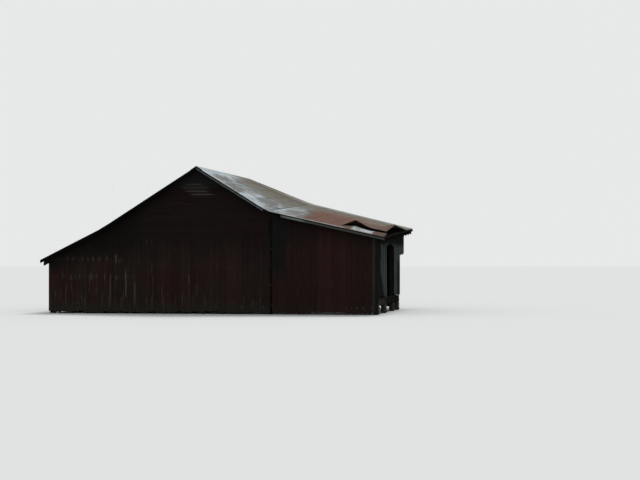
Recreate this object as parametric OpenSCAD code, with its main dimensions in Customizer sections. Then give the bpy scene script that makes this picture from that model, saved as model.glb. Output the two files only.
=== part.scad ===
// Small livestock barn: a steep gabled middle part with a shed down each side,
// all under one metal roof whose slopes flatten over the sheds.
// Millimetres. X runs across the gable front, Y from the front to the back, Z up.
// The right side has settled towards its front corner, so its roof edges climb to the back.

/* [Plan] */
// Outer face of the front boards to outer face of the back boards
barn_length = 7300; // [6500:50:9000]
// Ridge to the outer face of the left wall
left_wall_x = 5080; // [4700:20:5600]
// Ridge to the break in the left roof slope
left_break_x = 3200; // [2900:20:3500]
// Ridge to the outer face of the right wall
right_wall_x = 5900; // [5600:20:6400]
// Ridge to the break in the right roof slope
right_break_x = 2350; // [2150:20:2600]

/* [Roof heights] */
// Top of the roof at the ridge
ridge_h = 4790; // [4600:10:5200]
// Top of the roof at the left break
left_break_h = 2780; // [2700:10:2950]
// Top of the roof over the left wall
left_eave_h = 1860; // [1800:10:2000]
// Top of the roof at the right break, at the front
right_break_front_h = 3350; // [3250:10:3450]
// Top of the roof at the right break, at the back
right_break_back_h = 3830; // [3500:10:3900]
// Top of the roof over the right wall, at the front
right_eave_front_h = 2555; // [2500:5:2650]
// Top of the roof over the right wall, at the back
right_eave_back_h = 2950; // [2600:10:3050]

/* [Roof sheets] */
// How far the roof hangs past the left wall
left_eave_out = 210; // [150:10:350]
// How far the roof hangs past the right wall
right_eave_out = 230; // [150:10:350]
// How far the roof hangs past the front and the back wall
rake_out = 250; // [150:10:350]
// Depth of the corrugated sheets, underside of a trough to top of a crest
sheet_t = 18; // [12:1:25]
// Thickness of the sheet itself
skin_t = 3; // [2:0.5:4]
// Distance from crest to crest, before it is fitted to the length of the roof
wave_pitch = 68; // [60:1:90]
// Corrugations that each sheet adds to its row
sheet_waves = 9; // [7:1:12]
// Corrugations by which a sheet laps over the one in front of it
lap_waves = 1; // [1:1:2]
// Open joint between the upper and the lower row of sheets, and at the ridge
sheet_joint = 6; // [4:1:12]
// Clearance under the sheets and between lapped sheets
seat_gap = 0.3; // [0.2:0.1:0.5]
// Width of each wing of the ridge cap
cap_wing = 190; // [120:5:250]
// Thickness of the ridge cap
cap_t = 5; // [3:1:8]

/* [Roof timber] */
// Thickness of a purlin
purlin_t = 38; // [25:1:50]
// Width of a purlin
purlin_w = 90; // [70:5:120]
// Largest distance between purlins
purlin_pitch = 620; // [450:10:800]
// Thickness of a rafter
rafter_t = 50; // [38:1:60]
// Depth of a rafter, measured plumb
rafter_d = 150; // [120:5:180]
// Largest distance between rafters
rafter_pitch = 760; // [550:10:900]
// Thickness of the ridge board
ridge_board_t = 38; // [25:1:50]
// Depth of the ridge board
ridge_board_d = 190; // [150:5:240]
// Depth of a rake board, measured plumb
rake_board_d = 95; // [70:5:140]
// Thickness of a rake board
rake_board_t = 22; // [15:1:30]
// Open joint between two rake boards
rake_joint = 3; // [1:1:10]
// Upper end of the rake board that is left on the front right, measured up from the break
rake_lost_above = 160; // [60:10:400]
// Lower end of the lost stretch, measured down from the break
rake_lost_below = 430; // [100:10:900]

/* [Lifted sheets] */
// How many sheets lie in front of the one whose front edge stands open
lifted_place = 1; // [1:1:5]
// How many sheets from the front have come off the purlins near the eave
raised_sheets = 10; // [6:1:12]
// Length that has come off the purlins, measured level from the eave
lifted_run = 1510; // [1200:10:2200]
// Height to which the open edge is bent up
lifted_rise = 150; // [100:5:200]
// Height of the buckle in the open edge
buckle_rise = 300; // [200:5:320]
// Distance from the eave to the top of the buckle, measured level
buckle_run = 1010; // [800:10:1150]
// Distance from the eave to the fold at the foot of the buckle, measured level
fold_run = 570; // [350:10:750]
// Height to which the last sheet in front of the open edge is bent up
strip_rise = 80; // [0:5:80]
// Height by which the wind has curled the eave up further behind the open edge
curl_rise = 200; // [0:5:220]
// Distance from the front wall to the highest place of the curled eave
curl_place = 2400; // [2000:50:3200]

/* [Frame] */
// Side of a square post
post_w = 150; // [120:5:180]
// Width of a plate
plate_w = 150; // [120:5:170]
// Depth of a plate
plate_d = 140; // [120:5:180]
// How deep a rafter is notched over a plate
seat_bite = 20; // [10:1:30]
// Depth of a tie beam
tie_d = 150; // [120:5:180]
// Width of a tie beam
tie_w = 100; // [80:5:140]
// Thickness of a girt
girt_t = 50; // [38:1:60]
// Depth of a girt
girt_d = 100; // [80:5:120]
// Height of the lowest girt above the ground
girt_low = 250; // [150:10:350]
// Height of the second girt above the ground
girt_mid = 900; // [700:10:1050]
// Gap between the third girt and the left wall plate over it
high_girt_drop = 30; // [10:5:150]
// Gap between the fourth girt and the front end of the right wall plate over it
top_girt_drop = 120; // [20:5:250]
// Width of a gable stud
stud_w = 90; // [50:5:120]
// Largest distance between gable studs
stud_pitch = 900; // [600:10:1200]

/* [Walls] */
// Thickness of the wall boards
board_t = 25; // [20:1:30]
// Gap between the boards and the ground
ground_gap = 30; // [10:5:80]
// How far the lap siding of the gable starts below the top of the tie beams
lap_drop = 40; // [0:5:120]
// Width of the open joint between the middle part and the right shed
seam_gap = 70; // [30:5:120]
// Width of the unpainted boards at the front right corner
corner_board_w = 200; // [120:10:300]
// Width of the back wall that is lost at the rear right corner
back_lost_w = 400; // [300:20:900]

/* [Right side] */
// End of the first boarded stretch, measured from the front
door_start = 2100; // [1700:10:2300]
// Width of the doorway in the right wall
door_w = 1960; // [1500:10:2100]
// Length of the boarded stretch behind the doorway
pier_w = 1540; // [1100:10:1700]
// Open stretch between the boards over the rear bay and the back wall
rear_open_w = 520; // [300:10:900]
// How far the boards over the doorway reach below the wall plate
door_head_drop = 150; // [20:10:300]
// Length of the boards over the open rear bay, at their front end
hanging_len = 730; // [500:10:1000]
// Depth of the sill beam
sill_d = 250; // [200:10:300]
// Height of the stones under the sill beam
stone_h = 280; // [150:10:350]
// Length of a sill stone
stone_l = 420; // [300:10:600]

/* [Hidden] */

LEFT = 0;
RIGHT = 1;
break_x = [left_break_x, right_break_x];
wall_x = [left_wall_x, right_wall_x];
eave_out = [left_eave_out, right_eave_out];
tail_x = wall_x + eave_out;
// Heights at the front wall and at the back wall, for each side
break_h = [[left_break_h, left_break_h], [right_break_front_h, right_break_back_h]];
eave_h = [[left_eave_h, left_eave_h], [right_eave_front_h, right_eave_back_h]];

deck_t = sheet_t + purlin_t;
plate_half = plate_w / 2;
ridge_half = ridge_board_t / 2;
inner_y = board_t + girt_t;
back_y = barn_length - inner_y;
rake_start = -rake_out;
rake_end = barn_length + rake_out;
centre_x = (tail_x[RIGHT] - tail_x[LEFT]) / 2;
centre_y = barn_length / 2;

// Front faces of the posts: three equal bays
bays = 3;
post_ys = [for (i = [0 : bays]) inner_y + i * (back_y - post_w - inner_y) / bays];
// Front faces of the rafters: the first and the last lie against the end walls
rafter_run = barn_length - 2 * board_t - rafter_t;
rafter_bays = ceil(rafter_run / rafter_pitch);
rafter_ys = [for (i = [0 : rafter_bays]) board_t + i * rafter_run / rafter_bays];

// Corrugated sheets, in rows of whole corrugations from the front rake to the back rake
wave_count = round((rake_end - rake_start) / wave_pitch);
wave_w = (rake_end - rake_start) / wave_count;
sheet_count = ceil((wave_count - lap_waves) / sheet_waves);
lap_lift = skin_t + seat_gap;
// Points for each corrugation: fewer on the right, where the slopes are twisted
fine_steps = 8;
plain_steps = 4;

// Right side, front to back: boards, doorway, boarded pier, open bay
pier_start = door_start + door_w;
pier_end = pier_start + pier_w;
hanging_end = barn_length - rear_open_w;
back_wall_end_x = right_wall_x - back_lost_w;
right_post_ys = [inner_y, door_start - post_w, pier_start, pier_end - post_w];
sill_top = stone_h + sill_d;
sill_stone_ys = [for (y = right_post_ys) max(inner_y, min(y + (post_w - stone_l) / 2, pier_end - stone_l))];

wood_red = [0.36, 0.12, 0.10];
wood_grey = [0.50, 0.50, 0.47];
wood_dark = [0.33, 0.27, 0.22];
metal_pale = [0.72, 0.76, 0.80];
metal_rust = [0.55, 0.36, 0.27];
stone_grey = [0.45, 0.43, 0.40];

function mix(a, b, t) = a + (b - a) * t;
function along(pair, y) = mix(pair[0], pair[1], y / barn_length);

// Top of the roof at distance u from the ridge on one side
function roof_z(side, u, y) =
    u < break_x[side]
        ? mix(ridge_h, along(break_h[side], y), u / break_x[side])
        : mix(along(break_h[side], y), along(eave_h[side], y),
              (u - break_x[side]) / (wall_x[side] - break_x[side]));

// Underside of the purlins, which is the top of the rafters and of the end walls
function deck_z(side, u, y) = roof_z(side, u, y) - deck_t;
// The lower of its values at the two faces of a piece that is t thick
function deck_low(side, u, y, t) = min(deck_z(side, u, y), deck_z(side, u, y + t));
function rafter_under(side, u, y) = deck_z(side, u, y) - rafter_d;

// Tops of the plates: the rafters are notched over them
function main_plate_z(side, y) = rafter_under(side, break_x[side] - plate_half, y) + seat_bite;
function wall_plate_inner(side) = wall_x[side] - board_t - plate_w;
function wall_plate_z(side, y) = rafter_under(side, wall_plate_inner(side), y) + seat_bite;
function high(a, b) = max(a, b);
tie_top = main_plate_z(LEFT, 0) - plate_d;
gable_base_h = tie_top - lap_drop;
girt_high = wall_plate_z(LEFT, 0) - plate_d - high_girt_drop - girt_d;
girt_top = wall_plate_z(RIGHT, 0) - plate_d - top_girt_drop - girt_d;
door_head_h = wall_plate_z(RIGHT, door_start) - plate_d - door_head_drop;
hanging_base_h = rafter_under(RIGHT, right_wall_x, pier_end) - hanging_len;

// How fast the fall of a slope changes along the barn, for the upper and the lower slope
function climb(pair) = (pair[1] - pair[0]) / barn_length;
function upper_twist(side) = abs(climb(break_h[side])) / break_x[side];
function lower_twist(side) = abs(climb(eave_h[side]) - climb(break_h[side])) / (wall_x[side] - break_x[side]);
// Height of the troughs over the purlins: a twisted purlin bows up between two rafters
function seat(side) =
    seat_gap + max(upper_twist(side), lower_twist(side)) * purlin_w * rafter_pitch / 4;

// Solid between two grids of points, given row by row from the front to the back
module grid_solid(top, bottom) {
    rows = len(top);
    cols = len(top[0]);
    under = rows * cols;
    cells = [for (i = [0 : rows - 2], j = [0 : cols - 2]) i * cols + j];
    over_faces = [for (c = cells) each [[c, c + cols, c + cols + 1], [c, c + cols + 1, c + 1]]];
    under_faces = [for (f = over_faces) [under + f[2], under + f[1], under + f[0]]];
    last = (rows - 1) * cols;
    rim = concat(
        [for (j = [0 : cols - 2]) [j, j + 1, under + j + 1, under + j]],
        [for (j = [0 : cols - 2]) [last + j + 1, last + j, under + last + j, under + last + j + 1]],
        [for (i = [0 : rows - 2]) [(i + 1) * cols, i * cols, under + i * cols, under + (i + 1) * cols]],
        [for (i = [1 : rows - 1]) [i * cols - 1, i * cols + cols - 1, under + i * cols + cols - 1, under + i * cols - 1]]
    );
    polyhedron(concat([for (r = top) each r], [for (r = bottom) each r]),
               concat(over_faces, under_faces, rim), convexity = 6);
}

// Modules below work in distance from the ridge; this puts them on their side
module on_side(side) {
    if (side == LEFT) mirror([1, 0, 0]) children();
    else children();
}

module place() {
    translate([-centre_x, -centre_y, 0]) children();
}

// Outline in X and Z, made t thick from y towards the back
module plumb_slab(outline, y, t) {
    translate([0, y + t, 0]) rotate([90, 0, 0]) linear_extrude(t) polygon(outline);
}

// Outline in Y and Z, made t thick from x outwards
module side_slab(outline, x, t) {
    translate([x, 0, 0]) rotate([90, 0, 90]) linear_extrude(t) polygon(outline);
}

// Part of a slope over the given distances from the ridge, from over to under below the roof's top
module slope_slab(side, us, ys, over, under) {
    on_side(side) grid_solid(
        [for (y = ys) [for (u = us) [u, y, roof_z(side, u, y) - over]]],
        [for (y = ys) [for (u = us) [u, y, roof_z(side, u, y) - under]]]
    );
}

// End wall of a shed between two distances from the ridge
module shed_end_wall(side, u1, u2, y) {
    on_side(side) plumb_slab([
        [u1, ground_gap], [u2, ground_gap],
        [u2, deck_low(side, u2, y, board_t)], [u1, deck_low(side, u1, y, board_t)]
    ], y, board_t);
}

module main_end_wall(y) {
    plumb_slab([
        [-left_break_x, ground_gap], [right_break_x, ground_gap],
        [right_break_x, gable_base_h], [-left_break_x, gable_base_h]
    ], y, board_t);
}

module gable(y) {
    plumb_slab([
        [-left_break_x, gable_base_h], [right_break_x, gable_base_h],
        [right_break_x, deck_low(RIGHT, right_break_x, y, board_t)],
        [0, ridge_h - deck_t],
        [-left_break_x, deck_low(LEFT, left_break_x, y, board_t)]
    ], y, board_t);
}

back_board_y = barn_length - board_t;

module front_wall_left() { color(wood_red) place() shed_end_wall(LEFT, left_break_x, left_wall_x, 0); }
module front_wall_main() { color(wood_red) place() main_end_wall(0); }
module front_gable() { color(wood_red) place() gable(0); }
module front_wall_right() {
    color(wood_red) place()
        shed_end_wall(RIGHT, right_break_x + seam_gap, right_wall_x - corner_board_w, 0);
}
module front_corner_boards() {
    color(wood_grey) place() shed_end_wall(RIGHT, right_wall_x - corner_board_w, right_wall_x, 0);
}
module back_wall_left() {
    color(wood_red) place() shed_end_wall(LEFT, left_break_x, left_wall_x, back_board_y);
}
module back_wall_main() { color(wood_red) place() main_end_wall(back_board_y); }
module back_gable() { color(wood_red) place() gable(back_board_y); }
module back_wall_right() {
    color(wood_red) place() shed_end_wall(RIGHT, right_break_x, back_wall_end_x, back_board_y);
}

// Boards of a side wall from y1 to y2, cut off under the rafters
module side_boards(side, y1, y2, base) {
    u = wall_x[side];
    on_side(side) side_slab([
        [y1, base], [y2, base],
        [y2, rafter_under(side, u, y2)], [y1, rafter_under(side, u, y1)]
    ], u - board_t, board_t);
}

module left_wall() {
    color(wood_red) place() side_boards(LEFT, board_t, back_board_y, ground_gap);
}
module right_wall_front() {
    color(wood_grey) place() side_boards(RIGHT, board_t, door_start, sill_top);
}
module right_wall_pier() {
    color(wood_grey) place() side_boards(RIGHT, pier_start, pier_end, sill_top);
}
module door_head_boards() {
    color(wood_grey) place() side_boards(RIGHT, door_start, pier_start, door_head_h);
}
module hanging_boards() {
    color(wood_grey) place() side_boards(RIGHT, pier_end, hanging_end, hanging_base_h);
}

// Posts of one row, each up to a plate whose top follows the roof
module main_posts(side) {
    on_side(side) for (y = post_ys)
        side_slab([
            [y, 0], [y + post_w, 0],
            [y + post_w, main_plate_z(side, y + post_w) - plate_d], [y, main_plate_z(side, y) - plate_d]
        ], break_x[side] - post_w / 2, post_w);
}
module wall_posts(side, ys, base) {
    on_side(side) for (y = ys)
        side_slab([
            [y, base], [y + post_w, base],
            [y + post_w, wall_plate_z(side, y + post_w) - plate_d], [y, wall_plate_z(side, y) - plate_d]
        ], wall_plate_inner(side) + (plate_w - post_w) / 2, post_w);
}

module left_wall_posts() { color(wood_dark) place() wall_posts(LEFT, post_ys, 0); }
module left_main_posts() { color(wood_dark) place() main_posts(LEFT); }
module right_main_posts() { color(wood_dark) place() main_posts(RIGHT); }
// The rear corner post is lost; the last post stands at the end of the back wall
module right_wall_posts() {
    end_post_x = back_wall_end_x - post_w;
    end_post_y = back_y - post_w;
    color(wood_dark) place() {
        wall_posts(RIGHT, right_post_ys, sill_top);
        plumb_slab([
            [end_post_x, 0], [back_wall_end_x, 0],
            [back_wall_end_x, rafter_under(RIGHT, back_wall_end_x, end_post_y)],
            [end_post_x, rafter_under(RIGHT, end_post_x, end_post_y)]
        ], end_post_y, post_w);
    }
}

// A plate from the front boards to the back boards, its top given at both ends
module plate(side, x, z1, z2) {
    on_side(side) side_slab([
        [board_t, z1 - plate_d], [back_board_y, z2 - plate_d], [back_board_y, z2], [board_t, z1]
    ], x, plate_w);
}
module main_plate(side) {
    plate(side, break_x[side] - plate_half,
          main_plate_z(side, board_t), main_plate_z(side, back_board_y));
}
module wall_plate(side) {
    plate(side, wall_plate_inner(side),
          wall_plate_z(side, board_t), wall_plate_z(side, back_board_y));
}

module left_wall_plate() { color(wood_dark) place() wall_plate(LEFT); }
module left_main_plate() { color(wood_dark) place() main_plate(LEFT); }
module right_main_plate() { color(wood_dark) place() main_plate(RIGHT); }
module right_wall_plate() { color(wood_dark) place() wall_plate(RIGHT); }

// Beams that tie the two rows of middle posts together
module tie_beams() {
    x1 = -left_break_x + post_w / 2;
    x2 = right_break_x - post_w / 2;
    color(wood_dark) place() for (y = post_ys)
        translate([x1, y + (post_w - tie_w) / 2, tie_top - tie_d]) cube([x2 - x1, tie_w, tie_d]);
}

module ridge_board() {
    top = min(deck_z(LEFT, ridge_half, 0), deck_z(RIGHT, ridge_half, 0));
    color(wood_dark) place()
        translate([-ridge_half, board_t, top - ridge_board_d])
            cube([ridge_board_t, barn_length - 2 * board_t, ridge_board_d]);
}

// Rails that the upright boards are nailed to
module rail(x1, x2, y, z) {
    translate([x1, y, z]) cube([x2 - x1, girt_t, girt_d]);
}
module end_girts(y, right_end) {
    left_end = -left_wall_x + board_t;
    for (z = [girt_low, girt_mid, girt_high]) {
        rail(left_end, -left_break_x, y, z);
        rail(-left_break_x, right_break_x, y, z);
        rail(right_break_x, right_end, y, z);
    }
    rail(-left_break_x, right_break_x, y, girt_top);
    rail(right_break_x, right_end, y, girt_top);
    rail(-left_break_x, right_break_x, y, gable_base_h - girt_d);
}
module front_girts() {
    color(wood_dark) place() end_girts(board_t, right_wall_x - board_t);
}
module back_girts() {
    color(wood_dark) place() end_girts(barn_length - inner_y, back_wall_end_x);
}

// Rails between the posts of the side walls
module side_rail(side, y1, y2, z) {
    on_side(side) translate([wall_x[side] - board_t - girt_t, y1, z]) cube([girt_t, y2 - y1, girt_d]);
}
module side_girts() {
    color(wood_dark) place() {
        for (i = [0 : bays - 1], z = [girt_low, girt_mid])
            side_rail(LEFT, post_ys[i] + post_w, post_ys[i + 1], z);
        for (z = [girt_mid, girt_high]) {
            side_rail(RIGHT, right_post_ys[0] + post_w, right_post_ys[1], z);
            side_rail(RIGHT, right_post_ys[2] + post_w, right_post_ys[3], z);
        }
    }
}

// Upright studs behind the lap siding, from the rail at its foot to the rafters
module gable_stud(side, u, y) {
    on_side(side) plumb_slab([
        [u, gable_base_h], [u + stud_w, gable_base_h],
        [u + stud_w, min(rafter_under(side, u + stud_w, y), rafter_under(side, u + stud_w, y + girt_t))],
        [u, min(rafter_under(side, u, y), rafter_under(side, u, y + girt_t))]
    ], y, girt_t);
}
module gable_studs() {
    color(wood_dark) place() for (side = [LEFT, RIGHT], y = [board_t, barn_length - inner_y]) {
        n = floor((break_x[side] - plate_half - stud_w) / stud_pitch);
        for (i = [1 : n]) gable_stud(side, i * (break_x[side] - plate_half - stud_w) / (n + 1), y);
    }
}

// Rafter from the ridge board to the break, notched over the plate there
module upper_rafter(side, y) {
    b = break_x[side];
    seat = high(main_plate_z(side, y), main_plate_z(side, y + rafter_t));
    on_side(side) plumb_slab([
        [ridge_half, deck_low(side, ridge_half, y, rafter_t)], [b, deck_low(side, b, y, rafter_t)],
        [b, seat], [b - plate_half, seat],
        [b - plate_half, rafter_under(side, b - plate_half, y)],
        [ridge_half, rafter_under(side, ridge_half, y)]
    ], y, rafter_t);
}

// Rafter from the break to the eave, notched over both plates
module lower_rafter(side, y) {
    b = break_x[side];
    inner = wall_plate_inner(side);
    outer = inner + plate_w;
    seat = high(main_plate_z(side, y), main_plate_z(side, y + rafter_t));
    eave_seat = high(wall_plate_z(side, y), wall_plate_z(side, y + rafter_t));
    tail = tail_x[side] - rake_board_t;
    on_side(side) plumb_slab([
        [b, deck_low(side, b, y, rafter_t)], [tail, deck_low(side, tail, y, rafter_t)],
        [tail, rafter_under(side, tail, y)], [outer, rafter_under(side, outer, y)],
        [outer, eave_seat], [inner, eave_seat], [inner, rafter_under(side, inner, y)],
        [b + plate_half, rafter_under(side, b + plate_half, y)],
        [b + plate_half, seat], [b, seat]
    ], y, rafter_t);
}

module left_upper_rafters() { color(wood_dark) place() for (y = rafter_ys) upper_rafter(LEFT, y); }
module left_lower_rafters() { color(wood_dark) place() for (y = rafter_ys) lower_rafter(LEFT, y); }
module right_upper_rafters() { color(wood_dark) place() for (y = rafter_ys) upper_rafter(RIGHT, y); }
module right_lower_rafters() { color(wood_dark) place() for (y = rafter_ys) lower_rafter(RIGHT, y); }

// Upper edges of purlins spread evenly from u1 to u2
function purlin_us(u1, u2) =
    let (n = ceil((u2 - u1 - purlin_w) / purlin_pitch))
        [for (i = [0 : n]) u1 + i * (u2 - u1 - purlin_w) / n];
upper_purlin_us = [for (side = [LEFT, RIGHT]) purlin_us(ridge_half, break_x[side])];
lower_purlin_us = [for (side = [LEFT, RIGHT]) purlin_us(break_x[side], tail_x[side])];

// Purlins from rake board to rake board
purlin_ys = concat([rake_start + rake_board_t], rafter_ys, [rake_end - rake_board_t]);
module purlins(side, us) {
    for (u = us) slope_slab(side, [u, u + purlin_w], purlin_ys, sheet_t, deck_t);
}
module left_upper_purlins() { color(wood_dark) place() purlins(LEFT, upper_purlin_us[LEFT]); }
module left_lower_purlins() { color(wood_dark) place() purlins(LEFT, lower_purlin_us[LEFT]); }
module right_upper_purlins() { color(wood_dark) place() purlins(RIGHT, upper_purlin_us[RIGHT]); }
module right_lower_purlins() { color(wood_dark) place() purlins(RIGHT, lower_purlin_us[RIGHT]); }

// Sheet i of a row: its corrugations, and the place of its k-th point from its front edge
function waves_of(i) = min(sheet_waves + lap_waves, wave_count - i * sheet_waves);
function sheet_y(i, k, steps) = rake_start + (i * sheet_waves + k / steps) * wave_w;
// A sheet lies on its neighbour along its front edge and comes down to the purlins at its back edge
function lap_z(i, w) =
    let (down = min(sheet_waves, waves_of(i)))
        i == 0 ? 0 : lap_lift * min(1, max(0, (down - w) / (down - lap_waves)));
// Underside of a sheet over its seat: a wave with flat troughs and crests
function wave_z(k, steps) =
    (sheet_t - skin_t) * (1 - cos((k - 0.5) * 360 / steps) / cos(180 / steps)) / 2;
function sheet_z(i, k, steps) = wave_z(k, steps) + lap_z(i, k / steps);

// Sheet on an even slope: its outline, seen down the slope, drawn out from u1 to u2
module straight_sheet(side, i, u1, u2) {
    fall = atan2(roof_z(side, u1, 0) - roof_z(side, u2, 0), u2 - u1);
    last = waves_of(i) * fine_steps;
    under = [for (k = [0 : last]) [sheet_y(i, k, fine_steps), sheet_z(i, k, fine_steps) * cos(fall)]];
    over = [for (k = [last : -1 : 0]) under[k] + [0, skin_t * cos(fall)]];
    run = (u2 - u1) / cos(fall) - (sheet_t + lap_lift) * sin(fall);
    on_side(side) translate([u1, 0, roof_z(side, u1, 0) - sheet_t + seat(side)])
        rotate([0, fall, 0]) rotate([90, 0, 90]) linear_extrude(run) polygon(concat(under, over));
}

// Sheet on a twisted slope, raised by lift at each distance from the ridge and from the front wall
module twisted_sheet(side, i, us, lift) {
    ks = [0 : waves_of(i) * plain_steps];
    under = [for (k = ks) let (y = sheet_y(i, k, plain_steps), z = sheet_z(i, k, plain_steps))
        [for (u = us) [u, y, roof_z(side, u, y) - sheet_t + seat(side) + z + lift(u, y)]]];
    over = [for (row = under) [for (p = row) p + [0, 0, skin_t]]];
    on_side(side) grid_solid(over, under);
}
flat = function(u, y) 0;

// Rows of sheets: from the ridge to the break and from the break to the eave
function upper_us(side) = [sheet_joint / 2, break_x[side] - sheet_joint / 2];
function lower_us(side) = [break_x[side] + sheet_joint / 2, tail_x[side]];

module left_upper_roof() {
    color(metal_pale) place() for (i = [0 : sheet_count - 1])
        straight_sheet(LEFT, i, upper_us(LEFT)[0], upper_us(LEFT)[1]);
}
module left_lower_roof() {
    color(metal_pale) place() for (i = [0 : sheet_count - 1])
        straight_sheet(LEFT, i, lower_us(LEFT)[0], lower_us(LEFT)[1]);
}
module right_upper_roof() {
    color(metal_pale) place() for (i = [0 : sheet_count - 1]) twisted_sheet(RIGHT, i, upper_us(RIGHT), flat);
}
// The wind has opened the lower right row at the eave: nails have drawn along one joint, and the
// sheets behind it are bent up together, less and less towards the back
lifted_x = tail_x[RIGHT] - lifted_run;
buckle_x = tail_x[RIGHT] - buckle_run;
fold_x = tail_x[RIGHT] - fold_run;
raised_us = [lower_us(RIGHT)[0], lifted_x, fold_x, tail_x[RIGHT]];
buckled_us = [lower_us(RIGHT)[0], lifted_x, buckle_x, fold_x, tail_x[RIGHT]];
function joint_y(i) = rake_start + i * sheet_waves * wave_w;
open_y = joint_y(lifted_place);
raised_end = joint_y(raised_sheets);
// Lift that the sheets behind the open edge share, then the buckle that only the first of them has
function raised(u, y) =
    lifted_rise * lookup(u, [[lifted_x, 0], [fold_x, 1]]) * lookup(y, [[open_y, 1], [raised_end, 0]])
    + curl_rise * lookup(u, [[fold_x, 0], [tail_x[RIGHT], 1]])
        * lookup(y, [[open_y, 0], [curl_place, 1], [raised_end, 0]]);
function buckle(u, y) =
    (buckle_rise - raised(buckle_x, open_y)) * lookup(u, [[lifted_x, 0], [buckle_x, 1], [fold_x, 0]])
    * pow(lookup(y, [[open_y, 1], [joint_y(lifted_place + 1), 0]]), 2);
behind = function(u, y) raised(u, y) + buckle(u, y);
before = function(u, y)
    strip_rise * lookup(u, [[lifted_x, 0], [tail_x[RIGHT], 1]])
    * lookup(y, [[joint_y(lifted_place - 1), 0], [open_y, 1]]);

// The lower right row leaves out the place of the lifted sheet
module right_lower_roof() {
    color(metal_rust) place() for (i = [0 : sheet_count - 1])
        if (i != lifted_place) twisted_sheet(
            RIGHT, i,
            i < lifted_place - 1 || i >= raised_sheets ? lower_us(RIGHT)
                : i > lifted_place + 1 ? raised_us : buckled_us,
            i == lifted_place - 1 ? before : i > lifted_place ? behind : flat
        );
}
module lifted_sheet() {
    color(metal_rust) place() twisted_sheet(RIGHT, lifted_place, buckled_us, behind);
}

// Bent sheet over the ridge, a wing down each slope, resting on the crests
cap_rise = max(seat(LEFT), seat(RIGHT)) + lap_lift + seat(RIGHT);
cap_ys = [for (i = [0 : 2 * sheet_count]) mix(rake_start, rake_end, i / (2 * sheet_count))];
module ridge_cap() {
    color(metal_pale) place() for (side = [LEFT, RIGHT])
        slope_slab(side, [0, cap_wing], cap_ys, -cap_rise - cap_t, -cap_rise);
}

// Board under the edge of the roof skin, nailed to the ends of the purlins
module rake_board(side, u1, u2, y) {
    on_side(side) plumb_slab([
        [u1, roof_z(side, u1, y) - sheet_t - rake_board_d],
        [u2, roof_z(side, u2, y) - sheet_t - rake_board_d],
        [u2, min(roof_z(side, u2, y), roof_z(side, u2, y + rake_board_t)) - sheet_t],
        [u1, min(roof_z(side, u1, y), roof_z(side, u1, y + rake_board_t)) - sheet_t]
    ], y, rake_board_t);
}
// Boards from the ridge to the eave, but for what is lost above and below the break
module rake_boards(side, above, below, y) {
    rake_board(side, rake_joint / 2, break_x[side] - above, y);
    rake_board(side, break_x[side] + below, tail_x[side], y);
}
module front_rake_boards() {
    color(wood_grey) place() {
        rake_boards(LEFT, rake_joint / 2, rake_joint / 2, rake_start);
        rake_boards(RIGHT, rake_lost_above, rake_lost_below, rake_start);
    }
}
module back_rake_boards() {
    color(wood_grey) place() for (side = [LEFT, RIGHT])
        rake_boards(side, rake_joint / 2, rake_joint / 2, rake_end - rake_board_t);
}

// Beam under the right wall, on flat stones
module right_sill() {
    color(wood_dark) place()
        translate([wall_plate_inner(RIGHT), inner_y, stone_h]) cube([plate_w, pier_end - inner_y, sill_d]);
}
module sill_stones() {
    color(stone_grey) place() for (y = sill_stone_ys)
        translate([wall_plate_inner(RIGHT), y, 0]) cube([plate_w, stone_l, stone_h]);
}

front_wall_left();
front_wall_main();
front_gable();
front_wall_right();
front_corner_boards();
back_wall_left();
back_wall_main();
back_gable();
back_wall_right();
left_wall();
right_wall_front();
right_wall_pier();
door_head_boards();
hanging_boards();
left_wall_posts();
left_main_posts();
right_main_posts();
right_wall_posts();
left_wall_plate();
left_main_plate();
right_main_plate();
right_wall_plate();
tie_beams();
ridge_board();
front_girts();
back_girts();
side_girts();
gable_studs();
left_upper_rafters();
left_lower_rafters();
right_upper_rafters();
right_lower_rafters();
left_upper_purlins();
left_lower_purlins();
right_upper_purlins();
right_lower_purlins();
left_upper_roof();
left_lower_roof();
right_upper_roof();
right_lower_roof();
lifted_sheet();
ridge_cap();
front_rake_boards();
back_rake_boards();
right_sill();
sill_stones();
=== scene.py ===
import math
import random

import bpy
from mathutils import Matrix, Vector, noise


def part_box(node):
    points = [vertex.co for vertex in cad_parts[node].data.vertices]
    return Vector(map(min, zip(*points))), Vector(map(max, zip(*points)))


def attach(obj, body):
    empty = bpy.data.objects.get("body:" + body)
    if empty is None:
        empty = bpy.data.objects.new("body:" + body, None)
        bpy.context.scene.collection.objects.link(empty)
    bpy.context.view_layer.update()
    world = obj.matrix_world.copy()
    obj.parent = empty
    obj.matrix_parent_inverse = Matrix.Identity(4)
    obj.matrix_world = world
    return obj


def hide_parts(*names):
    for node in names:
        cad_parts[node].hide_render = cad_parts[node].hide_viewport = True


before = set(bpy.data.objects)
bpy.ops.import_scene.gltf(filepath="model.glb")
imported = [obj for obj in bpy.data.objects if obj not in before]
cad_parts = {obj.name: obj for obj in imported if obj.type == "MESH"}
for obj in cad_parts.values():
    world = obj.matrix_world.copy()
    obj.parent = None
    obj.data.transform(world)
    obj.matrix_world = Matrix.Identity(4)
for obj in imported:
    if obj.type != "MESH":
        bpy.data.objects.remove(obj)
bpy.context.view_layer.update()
scene = bpy.context.scene
scene.view_settings.view_transform = "Standard"

# The camera stands some fifty metres before the gable and a little to its right, at eye
# height, and looks level.
eye = (12.09, -51.46, 1.73)
eye_turn = math.radians(10.07)
eye_rise = math.radians(0.78)
bpy.ops.object.camera_add(location=eye, rotation=(math.pi / 2 + eye_rise, 0, eye_turn))
scene.camera = bpy.context.object
scene.camera.data.lens = 85.4
scene.camera.data.clip_end = 900

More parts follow.
